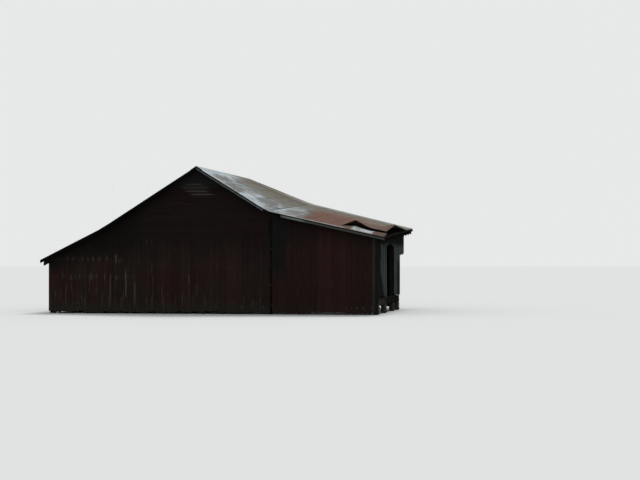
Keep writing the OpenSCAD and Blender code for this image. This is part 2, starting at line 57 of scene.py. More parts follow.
# Bright overcast: the sky lights the barn from all round, and a broad soft sun stands high
# behind it, so that the roof is the brightest and the gable front is in its own shade.
sky = bpy.data.worlds.new("overcast_sky")
scene.world = sky
sky.use_nodes = True
sky_nodes = sky.node_tree.nodes
sky_light = sky_nodes["Background"]
sky_light.inputs["Color"].default_value = (0.93, 0.97, 1.0, 1)
sky_light.inputs["Strength"].default_value = 0.58
sky_seen = sky_nodes.new("ShaderNodeBackground")
sky_seen.inputs["Color"].default_value = (0.80, 0.81, 0.81, 1)
ray = sky_nodes.new("ShaderNodeLightPath")
seen, seen_through = (sky_nodes.new("ShaderNodeMath") for step in range(2))
seen.operation = seen_through.operation = "MAXIMUM"
sky_mix = sky_nodes.new("ShaderNodeMixShader")
for start, end in (
    (ray.outputs["Is Camera Ray"], seen.inputs[0]),
    (ray.outputs["Is Glossy Ray"], seen.inputs[1]),
    (seen.outputs[0], seen_through.inputs[0]),
    (ray.outputs["Is Transmission Ray"], seen_through.inputs[1]),
    (seen_through.outputs[0], sky_mix.inputs[0]),
    (sky_light.outputs[0], sky_mix.inputs[1]),
    (sky_seen.outputs[0], sky_mix.inputs[2]),
    (sky_mix.outputs[0], sky_nodes["World Output"].inputs["Surface"]),
):
    sky.node_tree.links.new(start, end)

sun_from = Vector((0.10, 0.45, 0.88))
bpy.ops.object.light_add(type="SUN", location=(20, 12, 25))
sun = bpy.context.object
sun.rotation_euler = sun_from.to_track_quat("Z", "Y").to_euler()
sun.data.energy = 1.6
sun.data.angle = math.radians(24)
sun.data.color = (1.0, 0.98, 0.94)


# A finish is one material. Its values are wires, and sums and products of wires add the
# Math nodes that work them out, so that a finish reads like the recipe for a paint.
class Wire:
    """A value that changes over a surface."""

    def __init__(self, finish, socket):
        self.finish = finish
        self.socket = socket

    def worked(self, operation, first, second):
        return self.finish.add("ShaderNodeMath", {"operation": operation}, {0: first, 1: second})

    def __add__(self, other):
        return self.worked("ADD", self, other)

    def __sub__(self, other):
        return self.worked("SUBTRACT", self, other)

    def __rsub__(self, other):
        return self.worked("SUBTRACT", other, self)

    def __mul__(self, other):
        return self.worked("MULTIPLY", self, other)

    def __truediv__(self, other):
        return self.worked("DIVIDE", self, other)

    def __abs__(self):
        return self.worked("ABSOLUTE", self, 0)

    def more_than(self, other):
        return self.worked("MAXIMUM", self, other)

    def left_over(self):
        return self.worked("FRACT", self, 0)

    __radd__ = __add__
    __rmul__ = __mul__


class Finish:
    """A material: its colour is a first coat and what is laid over it."""

    def __init__(self, name, roughness=0.85, shine=0.0):
        self.material = bpy.data.materials.new(name)
        self.material.use_nodes = True
        self.nodes = self.material.node_tree.nodes
        self.shader = self.nodes["Principled BSDF"]
        self.shader.inputs["Roughness"].default_value = roughness
        self.shader.inputs["Specular IOR Level"].default_value = shine

    def feed(self, socket, value):
        if isinstance(value, Wire):
            self.material.node_tree.links.new(value.socket, socket)
        else:
            socket.default_value = value

    def add(self, kind, settings, sockets, out=0):
        node = self.nodes.new(kind)
        for name, value in settings.items():
            setattr(node, name, value)
        for name, value in sockets.items():
            self.feed(node.inputs[name], value)
        return Wire(self, node.outputs[out])

    def where(self):
        return self.add("ShaderNodeTexCoord", {}, {}, "Object")

    def kept(self, name):
        """A number that each board or sheet carries."""
        return self.add("ShaderNodeAttribute", {"attribute_name": name}, {}, "Fac")

    def part(self, vector, axis):
        return self.add("ShaderNodeSeparateXYZ", {}, {0: vector}, axis)

    def stretched(self, vector, scale):
        return self.add("ShaderNodeMapping", {}, {"Vector": vector, "Scale": scale})

    def cloud(self, vector, scale, detail=4.0, roughness=0.6):
        sockets = {"Vector": vector, "Scale": scale, "Detail": detail, "Roughness": roughness}
        return self.add("ShaderNodeTexNoise", {}, sockets)

    def rise(self, value, low, high):
        """From 0 to 1 as the value goes from low to high."""
        settings = {"interpolation_type": "SMOOTHSTEP"}
        sockets = {"Value": value, "From Min": low, "From Max": high}
        return self.add("ShaderNodeMapRange", settings, sockets)

    def blend(self, amount, under, over):
        settings = {"data_type": "RGBA"}
        return self.add("ShaderNodeMix", settings, {0: amount, 6: under, 7: over}, 2)

    def colour(self, value):
        self.coat = value
        self.feed(self.shader.inputs["Base Color"], value)

    def lay(self, amount, over):
        """Lays a colour over the coats so far, by an amount from 0 to 1."""
        self.colour(self.blend(amount, self.coat, over))

    def relief(self, height, depth, strength=0.6):
        settings = {"Height": height, "Distance": depth, "Strength": strength}
        self.feed(self.shader.inputs["Normal"], self.add("ShaderNodeBump", {}, settings))


# Floor: one plain level sheet, wide enough to reach the horizon. It is pale to the eye and
# throws only a little light up at the walls.
floor_radius = 420
floor_seen = (0.76, 0.765, 0.76, 1)
floor_light = (0.26, 0.27, 0.25, 1)
bpy.ops.mesh.primitive_circle_add(
    vertices=64, radius=floor_radius, fill_type="NGON", location=(0, 0, 0)
)
floor = bpy.context.object
floor.name = "floor"
pale_floor = Finish("pale_floor", 0.95)
eye_ray, gloss_ray, glass_ray = (
    pale_floor.add("ShaderNodeLightPath", {}, {}, "Is " + kind + " Ray")
    for kind in ("Camera", "Glossy", "Transmission")
)
looked_at = eye_ray.more_than(gloss_ray).more_than(glass_ray)
pale_floor.colour(pale_floor.blend(looked_at, floor_light, floor_seen))
floor.data.materials.append(pale_floor.material)


# Timber is sawn softwood, rough and dark with age. The grain runs along each member: fine
# fibres, broader streaks and a little grey where it has dried.
timber_dark = (0.010, 0.0085, 0.0070, 1)
timber_brown = (0.024, 0.0185, 0.0145, 1)
timber_grey = (0.036, 0.033, 0.029, 1)


def moved_on(finish, place, tone, steps):
    """A place moved on by each board's own tone, so that no streak runs over a joint."""
    sockets = {axis: tone * step for axis, step in enumerate(steps)}
    shift = finish.add("ShaderNodeCombineXYZ", {}, sockets)
    return finish.add("ShaderNodeVectorMath", {"operation": "ADD"}, {0: place, 1: shift})


def grain(finish, along):
    """Fibres and streaks that run along one axis, with the place and tone that they follow."""
    place = finish.where()
    tone = finish.kept("tone")
    moved = moved_on(finish, place, tone, (31.0, 17.0, 23.0))
    fine = [2.2 if axis == along else 60.0 for axis in "XYZ"]
    broad = [0.9 if axis == along else 17.0 for axis in "XYZ"]
    fibres = finish.cloud(finish.stretched(moved, fine), 1.0, 5.0, 0.7)
    streaks = finish.cloud(finish.stretched(moved, broad), 1.0, 6.0, 0.65)
    return place, tone, fibres, streaks


def timber(along):
    finish = Finish("sawn_timber_along_" + along.lower())
    place, _, fibres, streaks = grain(finish, along)
    foot = 1 - finish.rise(finish.part(place, "Z"), 0.05, 0.45)
    finish.colour(finish.blend(finish.rise(streaks, 0.3, 0.7), timber_brown, timber_grey))
    finish.lay(finish.rise(fibres, 0.62, 0.38) * 0.75, timber_dark)
    finish.lay(foot * 0.6, timber_dark)
    finish.relief(fibres, 0.004)
    return finish.material


post_rows = ("left_wall", "left_main", "right_main", "right_wall")
slopes = ("left_upper", "left_lower", "right_upper", "right_lower")
members = {
    "X": ["tie_beams", "front_girts", "back_girts"] + [slope + "_rafters" for slope in slopes],
    "Y": ["ridge_board", "side_girts"]
    + [row + "_plate" for row in post_rows]
    + [slope + "_purlins" for slope in slopes],
    "Z": ["gable_studs"] + [row + "_posts" for row in post_rows],
}
for along, names in members.items():
    sawn_timber = timber(along)
    for name in names:
        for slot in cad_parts[name].material_slots:
            slot.material = sawn_timber


# Sill: a squared beam on field stones under the right wall, its edges rounded by rot. It is
# one plank, cut fine and hewn uneven, with painted shade on all but its front stretch.
def choose(*pieces):
    """Selects these pieces alone, and makes the first of them the active one."""
    bpy.ops.object.select_all(action="DESELECT")
    for piece in pieces:
        piece.select_set(True)
    bpy.context.view_layer.objects.active = pieces[0]


def pick(piece, kind="FACE", test=lambda item: True):
    """Opens a piece for editing, with those faces or edges picked that pass a test."""
    choose(piece)
    bpy.ops.object.mode_set(mode="EDIT")
    bpy.ops.mesh.select_mode(type=kind)
    bpy.ops.mesh.select_all(action="DESELECT")
    bpy.ops.object.mode_set(mode="OBJECT")
    for item in piece.data.edges if kind == "EDGE" else piece.data.polygons:
        item.select = test(item)
    bpy.ops.object.mode_set(mode="EDIT")


def shut():
    """Closes the piece that is open for editing."""
    bpy.ops.object.mode_set(mode="OBJECT")


def settle(piece, name):
    """Names a new piece and puts its place into its mesh."""
    piece.name = name
    piece.data.transform(piece.matrix_world)
    piece.matrix_world = Matrix.Identity(4)
    return piece


def carry(piece, name, values):
    """Writes a number on each corner of a piece, for its finish to read."""
    piece.data.attributes.new(name, "FLOAT", "POINT").data.foreach_set("value", values)


def carry_all(piece, numbers):
    for name, value in numbers.items():
        carry(piece, name, [value] * len(piece.data.vertices))


def divide(board, axis, cuts):
    """Cuts across the edges of a board that run along one axis."""
    corners = board.data.vertices

    def runs_along(edge):
        first, second = (corners[i].co for i in edge.vertices)
        return abs(first[axis] - second[axis]) > 0.01

    pick(board, "EDGE", runs_along)
    bpy.ops.mesh.subdivide(number_cuts=cuts)
    shut()


def plank(name, cuts):
    """A board one unit each way from the origin, cut across its width, thickness and length."""
    bpy.ops.mesh.primitive_cube_add(size=1, location=(0.5, 0.5, 0.5))
    board = settle(bpy.context.object, name)
    for axis, number in enumerate(cuts):
        if number:
            divide(board, axis, number)
    carry(board, "up", [corner.co.z for corner in board.data.vertices])
    return board


def joined(name, parts):
    choose(*parts)
    bpy.ops.object.join()
    parts[0].name = name
    return parts[0]


def set_out(name, pattern, spots):
    """One piece made of a copy of the pattern at each spot, with the numbers that it carries."""
    copies = []
    for matrix, numbers in spots:
        copy = pattern.copy()
        copy.data = pattern.data.copy()
        copy.data.transform(matrix)
        carry_all(copy, numbers)
        bpy.context.collection.objects.link(copy)
        copies.append(copy)
    return joined(name, copies)


def ease_edges(piece, width):
    """Takes the sharpness off every edge, as weather does."""
    pick(piece, "EDGE", lambda edge: False)
    bpy.ops.mesh.edges_select_sharp(sharpness=math.radians(40))
    bpy.ops.mesh.bevel(offset=width, segments=1, affect="EDGES", clamp_overlap=True)
    shut()


def dress(piece, finish, slot, *nodes):
    """Gives a finished piece its material and its place in the assembly."""
    piece.data.materials.clear()
    piece.data.materials.append(finish)
    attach(piece, "root")
    if nodes:
        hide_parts(*nodes)


sill_low, sill_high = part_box("right_sill")
sill_size = sill_high - sill_low
sill_middle = (sill_low + sill_high) / 2
sill_hewing = 0.012
sill_round = 0.010
sill_brown = (0.040, 0.037, 0.032, 1)
sill_grey = (0.066, 0.064, 0.058, 1)
sill_shade = (0.019, 0.018, 0.014, 1)
sill_pattern = plank("sill_pattern", (3, 40, 3))
sill_spot = Matrix.Translation(sill_low) @ Matrix.Diagonal((*sill_size, 1))
sill = set_out("hewn_sill", sill_pattern, [(sill_spot, {"tone": 0.4})])
for corner in sill.data.vertices:
    inward = sill_middle - corner.co
    inward.y = 0
    rough = noise.noise(corner.co * 3.1) + 0.6 * noise.noise(corner.co * 9.0)
    corner.co += inward.normalized() * sill_hewing * (0.6 + rough)
    corner.co.z = min(corner.co.z, sill_high.z)
ease_edges(sill, sill_round)

shaded_sill = Finish("shaded_sill", 0.92)
place, _, fibres, streaks = grain(shaded_sill, "Y")
# Painted shade: the sill goes near black towards the back, under the doorway and the pier
shaded_stretch = shaded_sill.rise(shaded_sill.part(place, "Y") + (streaks - 0.5), -2.0, -1.2)
shaded_sill.colour(shaded_sill.blend(shaded_sill.rise(streaks, 0.4, 0.6), sill_brown, sill_grey))
shaded_sill.lay(shaded_stretch, sill_shade)
shaded_sill.lay(shaded_sill.rise(fibres, 0.6, 0.4) * 0.5, timber_dark)
shaded_sill.relief(fibres, 0.005)
dress(sill, shaded_sill.material, "frame_timber", "right_sill")


# Field stones: gathered ones, laid dry under the sill in two courses at each bearing, with a
# joint that falls at another place in each course.
chance = random.Random(7)
stone_dark = (0.050, 0.046, 0.040, 1)
stone_pale = (0.085, 0.082, 0.074, 1)
stone_stain = (0.030, 0.033, 0.022, 1)
stone_grit = (0.13, 0.128, 0.118, 1)


def node_corners(node):
    return [corner.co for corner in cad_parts[node].data.vertices]


def stretches(values, digits=3):
    """Start and end of each of a row of members, from all their corners on one axis."""
    edges = sorted({round(value, digits) for value in values})
    return list(zip(edges[::2], edges[1::2]))


bpy.ops.mesh.primitive_cube_add(size=1, location=(0, 0, 0))
stone = settle(bpy.context.object, "stone_pattern")
pick(stone)
bpy.ops.mesh.subdivide(number_cuts=4)
bpy.ops.transform.tosphere(value=0.45)
shut()
stone_low, stone_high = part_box("sill_stones")
stone_x = (stone_low.x + stone_high.x) / 2
stone_fill = 0.99
stone_courses = 2
stone_h = stone_high.z / stone_courses
stones = []
for start, end in stretches(corner.y for corner in node_corners("sill_stones")):
    for course in range(stone_courses):
        split = start + (end - start) * chance.uniform(0.38, 0.62)
        for first, last in ((start, split), (split, end)):
            middle = (stone_x, (first + last) / 2, stone_h * (course + 0.5))
            size = (stone_high.x - stone_low.x, (last - first) * stone_fill, stone_h)
            turn = Matrix.Rotation(math.pi * chance.randrange(2), 4, "Z")
            spot = Matrix.Translation(middle) @ Matrix.Diagonal((*size, 1)) @ turn
            stones.append((spot, {"tone": chance.random()}))
field_stones = set_out("field_stones", stone, stones)
for corner in field_stones.data.vertices:
    lump = noise.noise(corner.co * 11.0) + 0.5 * noise.noise(corner.co * 27.0)
    corner.co.x += (corner.co.x - stone_x) * 0.28 * lump
    corner.co.z = min(max(corner.co.z + 0.008 * lump, 0.0), stone_high.z)
pick(field_stones)
bpy.ops.mesh.faces_shade_smooth()
shut()

rough_stone = Finish("weathered_stone", 0.9)
place = rough_stone.where()
blotches = rough_stone.cloud(place, 14.0, 6.0)
speckle = rough_stone.cloud(place, 90.0, 2.0)
rough_stone.colour(rough_stone.blend(rough_stone.kept("tone"), stone_dark, stone_pale))
rough_stone.lay(rough_stone.rise(blotches, 0.5, 0.68) * 0.7, stone_stain)
rough_stone.lay(rough_stone.rise(speckle, 0.55, 0.7) * 0.4, stone_grit)
rough_stone.relief(blotches + speckle * 0.3, 0.01)
dress(field_stones, rough_stone.material, "field_stone", "sill_stones")


# Upright boards: sawn planks of uneven width nailed side by side, painted barn red once and
# never since. The paint has gone dull and brown, and bare wood shows at the feet, along the
# nail lines and on whole boards.
barn_red = (0.049, 0.0182, 0.0180, 1)
maroon = (0.034, 0.0150, 0.0150, 1)
faded_brown = (0.031, 0.0235, 0.0195, 1)
bare_wood = (0.125, 0.114, 0.100, 1)
mossy = (0.030, 0.031, 0.023, 1)
soot_and_shade = (0.011, 0.0088, 0.0080, 1)
seam_shade = (0.0115, 0.0125, 0.0115, 1)
seam_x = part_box("front_wall_main")[1].x
seam_dark = 0.28
left_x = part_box("front_wall_left")[0].x
left_slope = 0.33


class Paint(Finish):
    """Barn-red paint on boards grained along one axis, as time has left it, with painted shade.
    """

    def __init__(self, name, along):
        super().__init__(name, 0.9, 0.05)
        self.place, self.tone, self.fibres, self.streaks = grain(self, along)
        self.x = self.part(self.place, "X")
        self.height = self.part(self.place, "Z")
        self.patches = self.cloud(self.place, 0.55, 4.0)
        self.right_shed = self.rise(self.x, 1.6, 2.4)
        self.relief(self.fibres, 0.004)
        self.fade()
        self.darken()

    def fade(self):
        """Red and maroon boards, browner towards the left, with dark fibres."""
        redder = 0.40 * self.rise(self.x, -0.6, 0.6) + 0.35 * self.right_shed
        brown = self.rise(self.patches + self.tone * 0.10, 0.40, 0.60) * (0.90 - redder)
        dark = self.rise(self.fibres + (self.tone - 0.5) * 0.12, 0.62, 0.32)
        self.colour(self.blend(self.tone, maroon, barn_red))
        self.lay(brown, faded_brown)
        self.lay(dark * 0.55, soot_and_shade)

    def darken(self):
        """Dirt with painted shade high up, and painted shade under the left roof and by the seam.
        """
        # Painted shade and dirt: darker high up, under the eaves
        high = self.height + self.patches * 1.4 - self.right_shed * 0.5
        self.lay(self.rise(high, 2.1, 3.2) * 0.65, soot_and_shade)
        # Painted shade: darker within about half a metre under the left shed's roof
        eave = self.height - left_slope * (self.x - left_x) + (self.patches - 0.5) * 0.5
        self.lay(self.rise(eave, 0.95, 1.60) * self.rise(self.x, -2.0, -2.8) * 0.70, soot_and_shade)
        # Painted shade of the vines, which are not built: dark beside the seam, stronger higher
        # up
        seam = abs(self.x - seam_x - seam_dark) + (self.streaks - 0.5) * 0.4
        above = self.rise(self.height + (self.streaks - 0.5), 0.9, 1.7)
        self.lay(self.rise(seam, 0.38, 0.22) * above * 0.9, seam_shade)


# Rows where the weather gets at the front, and edges of single boards that have lost their
# paint: where along the front, from and up to which height, and how much of it
worn_rows = (1.18, 1.78)
bared_edges = (
    (-3.39, 0.30, 1.20, 0.40),
    (-3.19, 1.66, 1.94, 0.50),
    (-2.85, 0.62, 1.34, 0.70),
    (-2.55, 0.25, 1.02, 0.42),
    (-0.72, 0.95, 1.30, 0.36),
)

paint = Paint("worn_red_boards", "Z")
x, height, patches, streaks = paint.x, paint.height, paint.patches, paint.streaks
shifted = moved_on(paint, paint.place, paint.tone, (13.0, 7.0, 3.0))
dashes = paint.cloud(paint.stretched(shifted, (18.0, 18.0, 1.5)), 1.0, 5.0, 0.62)
on_front = paint.rise(paint.part(paint.place, "Y"), -3.2, -3.5)
low_down = paint.rise(height + (patches - 0.5) * 1.6, 1.05, 0.35)
flakes = low_down * (0.085 - 0.070 * paint.right_shed)
for line in worn_rows:
    row = paint.rise(abs(height - line + (patches - 0.5) * 0.3), 0.15, 0.02)
    flakes = flakes + row * on_front * paint.rise(x, -2.0, -3.2) * 0.11
chipped = paint.rise(dashes + flakes, 0.59, 0.76)
paint.lay(chipped * (0.36 - 0.20 * paint.right_shed), bare_wood)
for at, low, high, share in bared_edges:
    length = high - low
    strip = paint.rise(abs(x - at) + (dashes - 0.5) * 0.09, 0.034, 0.014) * on_front
    off = abs(height - (low + high) / 2) + (streaks - 0.5) * 0.9
    paint.lay(strip * paint.rise(off, length * 0.6, length * 0.35) * share, bare_wood)
wear = paint.kept("wear") * (1.1 - paint.rise(height + (streaks - 0.5) * 1.6, 0.9, 1.7))
worn = paint.rise(dashes * 0.6 + paint.fibres * 0.4 + wear * 0.30, 0.66, 0.86)
paint.lay(worn * (0.46 - 0.26 * paint.right_shed), bare_wood)
foot = paint.rise(height - paint.cloud(paint.place, 5.0, 3.0) * 0.5, 0.26, -0.15)
paint.lay(foot * (0.65 - 0.45 * paint.right_shed), mossy)

# The seam between two of the front's walls lies a little to the right of where their nodes meet
seam_moves = {"front_wall_main": (0, 0.035), "front_wall_right": (0.035, 0)}
board_t = 0.025
board_slack = 0.02
board_cup = 0.012
board_proud = 0.004
board_chewed = 0.03
board_wander = 0.003
board_round = 0.0025
nails_across = (0.22, 0.78)
girts = stretches((corner.z for corner in node_corners("front_girts")), 2)
nail_lines = [(low + high) / 2 for low, high in girts]
all_nails = []
upright = plank("upright_pattern", (3, 0, 7))

# A set seed, so that the boards wander in the same way each time
noise.seed_set(5)


def stand_along(node, facing):
    """Stands a pattern along a wall, seen from outside; returned with the wall's length."""
    low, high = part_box(node)
    moved = seam_moves.get(node, (0, 0))
    ends = {
        "front": ((low.x + moved[0], low.y), (high.x + moved[1], low.y)),
        "back": ((high.x, high.y), (low.x, high.y)),
        "left": ((low.x, high.y), (low.x, low.y)),
        "right": ((high.x, low.y), (high.x, high.y)),
    }
    start, end = (Vector((x, y, 0)) for x, y in ends[facing])
    run = (end - start).normalized()
    up = Vector((0, 0, 1))
    turned = Matrix((run, up.cross(run), up)).transposed().to_4x4()
    return Matrix.Translation(start) @ turned, (end - start).length


def heights_at(node, x, y, reach_x, reach_y):
    """Heights of a node's corners near a place in plan."""
    spots = node_corners(node)
    return [s.z for s in spots if abs(s.x - x) < reach_x and abs(s.y - y) < reach_y]


def top_at(node, x, y):
    """A node's highest point near a place in plan."""
    return Vector((x, y, max(heights_at(node, x, y, 0.06, 0.06))))


def cut_off(piece, point, normal):
    """Saws off what stands above a slope through a point, and closes the cut."""
    upwards = (normal if normal.z > 0 else -normal).normalized()
    pick(piece)
    bpy.ops.mesh.bisect(plane_co=point, plane_no=upwards, use_fill=True, clear_outer=True)
    shut()


def cut_under_roof(piece, node):
    """Saws a wall off along the slope that its node's top has."""
    first, last = (top_at(node, corner.x, corner.y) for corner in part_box(node))
    slope = last - first
    cut_off(piece, first, slope.cross(Vector((0, 1, 0) if slope.x > slope.y else (1, 0, 0))))


def paint_lost(pick_of, share):
    """Paint holds on most boards, and has mostly gone from a share of them."""
    if pick_of.random() < share:
        return pick_of.uniform(0.25, 0.5)
    return pick_of.uniform(0, 0.12)


def chew_feet(piece, depths, pick_of):
    """Leaves the foot of each board ragged, within its own depth."""
    pattern = upright.data.vertices
    low_corners = [i for i, corner in enumerate(pattern) if corner.co.z < 0.01]
    for board, depth in enumerate(depths):
        notches = {}
        for i in low_corners:
            across = round(pattern[i].co.x, 2)
            notches.setdefault(across, pick_of.uniform(0, depth))
            piece.data.vertices[board * len(pattern) + i].co.z += notches[across]


def boarding(name, seed, node, facing, widths, gaps, share=0, sawn=True, ragged=0.05, lean=0.004):
    """Upright boards over a wall's node; a share of them worn, their tops sawn under the roof."""
    pick_of = random.Random(seed)
    base, top = (corner.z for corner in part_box(node))
    stand, length = stand_along(node, facing)
    spots = []
    depths = []
    reached = 0.0
    while reached < length - board_slack:
        width = pick_of.uniform(*widths)
        if length - reached - width < widths[0] * 0.7:
            width = length - reached
        gap = pick_of.uniform(*gaps)
        foot = base + pick_of.uniform(0, ragged) * (pick_of.random() < 0.6)
        thickness = board_t * pick_of.uniform(0.82, 0.98)
        shape = Matrix.Diagonal((width - gap, thickness, top - foot, 1))
        slant = Matrix.Identity(4)
        slant[0][2] = pick_of.uniform(-lean, lean) * 0.3
        slant[1][2] = pick_of.uniform(-lean, lean) * 0.5
        slant[1][0] = pick_of.uniform(-board_cup, board_cup)
        deep = pick_of.uniform(0, board_proud)
        spot = stand @ Matrix.Translation((reached, deep, foot)) @ slant @ shape
        spots.append((spot, {"tone": pick_of.random(), "wear": paint_lost(pick_of, share)}))
        depths.append(pick_of.uniform(0, board_chewed))
        for line in nail_lines:
            if foot + 0.1 < line < top - 0.1:
                for across in nails_across:
                    nailed = (reached + width * across, deep, line + pick_of.uniform(-0.02, 0.02))
                    all_nails.append(stand @ Matrix.Translation(nailed))
        reached += width
    piece = set_out(name, upright, spots)
    chew_feet(piece, depths, pick_of)
    if sawn:
        cut_under_roof(piece, node)
    ease_edges(piece, board_round)
    for corner in piece.data.vertices:
        corner.co += board_wander * noise.noise_vector(corner.co * 2.3)
    return piece


# Each painted wall: its seed and its node, the narrowest and the widest board, the share of
# worn boards, and whether the roof cuts it
painted_gaps = (0.001, 0.006)
for seed, node, widths, share, sawn in (
    (11, "front_wall_left", (0.11, 0.19), 0.12, True),
    (12, "front_wall_main", (0.12, 0.21), 0.10, False),
    (13, "front_wall_right", (0.17, 0.27), 0.03, True),
    (14, "back_wall_left", (0.13, 0.22), 0.15, True),
    (15, "back_wall_main", (0.13, 0.22), 0.15, False),
    (16, "back_wall_right", (0.15, 0.24), 0.18, True),
    (17, "left_wall", (0.13, 0.22), 0.20, False),
):
    name = node.replace("wall", "boards")
    facing = node.split("_")[0]
    wall = boarding(name, seed, node, facing, widths, painted_gaps, share, sawn)
    dress(wall, paint.material, "red_boards", node)


# Bare boards on the right: softwood that never held paint there or has lost it all, silver
# grey, with darker streaks of rain and open joints between the boards.
silver = (0.128, 0.150, 0.141, 1)
slate = (0.036, 0.043, 0.040, 1)
damp_and_shade = (0.012, 0.014, 0.013, 1)
corner_brown = (0.056, 0.049, 0.043, 1)
corner_dark = (0.034, 0.031, 0.028, 1)


def bare(name, along, light, dark):
    """Bare wood; returned with its place, for stains and painted shade to be laid over."""
    finish = Finish(name, 0.9)
    place, tone, fibres, streaks = grain(finish, along)
    stain = finish.rise(finish.cloud(place, 1.3, 4.0), 0.52, 0.70)
    finish.colour(finish.blend(tone * 0.8, light, dark))
    finish.lay(finish.rise(streaks, 0.48, 0.66) * 0.7, dark)
    finish.lay(finish.rise(fibres, 0.60, 0.36) * 0.6, damp_and_shade)
    finish.lay(stain * 0.20, bare_wood)
    finish.relief(fibres, 0.005)
    return finish, place


grey, place = bare("silver_grey_boards", "Z", silver, slate)
pier_low, pier_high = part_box("right_wall_pier")
pier_middle = (pier_low.y + pier_high.y) / 2
back = grey.part(place, "Y")
height = grey.part(place, "Z")
drift = grey.cloud(place, 2.0) - 0.5
# Painted shade under the eave: the top of the right wall goes dark
eave_shade = grey.rise(height + (grey.cloud(place, 3.0) - 0.5) * 0.3, 2.16, 2.36)
grey.lay(eave_shade * 0.9, damp_and_shade)
# Darker towards the front corner, reaching further back low down
near_front_corner = back - 1.1 * (1.35 - height).more_than(0) + drift * 0.5
grey.lay(grey.rise(near_front_corner, -2.80, -3.25) * 0.92, damp_and_shade)
# Darker on the lower part of the pier's rear half
rear_half = grey.rise(back - pier_middle + drift * 0.4, -0.08, 0.08)
grey.lay(rear_half * grey.rise(height, 1.9, 1.5) * 0.80, damp_and_shade)

dark_wood, place = bare("corner_boards", "Z", corner_brown, corner_dark)
# Darker along the outer edge at the corner
dark_wood.lay(dark_wood.rise(dark_wood.part(place, "X"), 5.37, 5.39) * 0.85, damp_and_shade)
corner_sizes = (0.09, 0.11), (0.002, 0.006)
wall = boarding("corner_boards", 21, "front_corner_boards", "front", *corner_sizes)
dress(wall, dark_wood.material, "grey_boards", "front_corner_boards")

right_sizes = (0.12, 0.22), (0.004, 0.018)
for name, seed, node in (
    ("right_boards_front", 22, "right_wall_front"),
    ("right_boards_pier", 23, "right_wall_pier"),
    ("right_boards_over_door", 24, "door_head_boards"),
    ("right_boards_hanging", 25, "hanging_boards"),
):
    wall = boarding(name, seed, node, "right", *right_sizes, ragged=0.08, lean=0.010)
    dress(wall, grey.material, "grey_boards", node)


# Lap siding: thin boards laid level in the gables, each over the top edge of the one below,
# with butt joints where a length ran out. Near the top of the front gable the paint is gone.
lap = plank("lap_pattern", (9, 0, 0))
lap_show = 0.1085
lap_over = 0.022
lap_t = 0.014
lap_tilt = 0.016
lap_hang = 0.012
lap_proud = 0.004
lap_joint = 0.003
lap_round = 0.0015
lap_shortest = 0.05
lap_nails = 0.6
lap_runs = (2.2, 3.7)


def siding(name, seed, node, facing):
    """Courses of lap siding over a gable."""
    pick_of = random.Random(seed)
    low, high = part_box(node)
    stand, length = stand_along(node, facing)
    height = lap_show + lap_over
    spots = []
    for course in range(math.ceil((high.z - low.z) / lap_show)):
        foot = low.z - lap_hang + course * lap_show
        reached = -pick_of.uniform(0, 2.2)
        while reached < length:
            run = pick_of.uniform(*lap_runs)
            first = max(reached, 0.0)
            last = min(reached + run, length)
            reached += run
            if last - first < lap_shortest:
                continue
            slant = Matrix.Identity(4)
            slant[1][2] = lap_tilt / height
            slant[2][0] = pick_of.uniform(-0.0012, 0.0012)
            shape = Matrix.Diagonal((last - first - lap_joint, lap_t, height, 1))
            spot = stand @ Matrix.Translation((first, -lap_proud, foot)) @ slant @ shape
            spots.append((spot, {"tone": pick_of.random(), "wear": pick_of.uniform(0, 0.3)}))
            for at in range(1, int((last - first) / lap_nails) + 1):
                nailed = (first + at * lap_nails - 0.3, -0.003, foot + 0.03)
                all_nails.append(stand @ Matrix.Translation(nailed))
    piece = set_out(name, lap, spots)
    peak = max(node_corners(node), key=lambda spot: spot.z)
    for edge in (low, high):
        eave = top_at(node, edge.x, peak.y)
        cut_off(piece, eave, (peak - eave).cross(Vector((0, 1, 0))))
    ease_edges(piece, lap_round)
    return piece


peak_grey_and_shade = (0.0215, 0.0225, 0.0225, 1)
bared_grey = (0.124, 0.122, 0.112, 1)
bared_x = -0.54
bared_z = 4.02
gable_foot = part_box("front_gable")[0].z - lap_hang
paint = Paint("worn_red_siding", "X")
x, height, tone, streaks = paint.x, paint.height, paint.tone, paint.streaks
# Painted shade and bare grey wood: the peak under the roof goes dark grey
paint.lay(paint.rise(height + (streaks - 0.5) * 0.3, 4.02, 4.26) * 0.85, peak_grey_and_shade)
lower = paint.rise(height, 4.10, 3.90)
off = abs(x - bared_x - 0.24 * lower) + (streaks - 0.5) * 0.8 + (tone - 0.5) * 0.3 + lower * 0.06
bared = paint.rise(off, 0.44, 0.24) * paint.rise(abs(height - bared_z), 0.26, 0.17)
edge = paint.rise(((height - gable_foot) / lap_show).left_over(), 0.48, 0.10)
paint.lay(bared * (0.08 + (0.28 + 0.32 * lower) * edge), bared_grey)
wall = siding("front_siding", 31, "front_gable", "front")
dress(wall, paint.material, "red_boards", "front_gable")
wall = siding("back_siding", 32, "back_gable", "back")
dress(wall, Paint("worn_red_siding_back", "X").material, "red_boards", "back_gable")


# Roof surface: the top of the purlins, read from the sheets of the frame at the four corners
# of each slope. The right slopes are twisted, because their edges climb to the back.
roof_l = 7.8
all_waves = 115
wave_w = roof_l / all_waves
wave_depth = 0.018
trough_at = 1 / 8
ridge_x = sum(corner.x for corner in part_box("ridge_board")) / 2
rake_front, rake_back = (corner.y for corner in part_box("left_upper_roof"))


def seat_at(node, x, y):
    """Height of the troughs at a corner of a slope."""
    return min(heights_at(node, x, y, 0.014, 0.09))


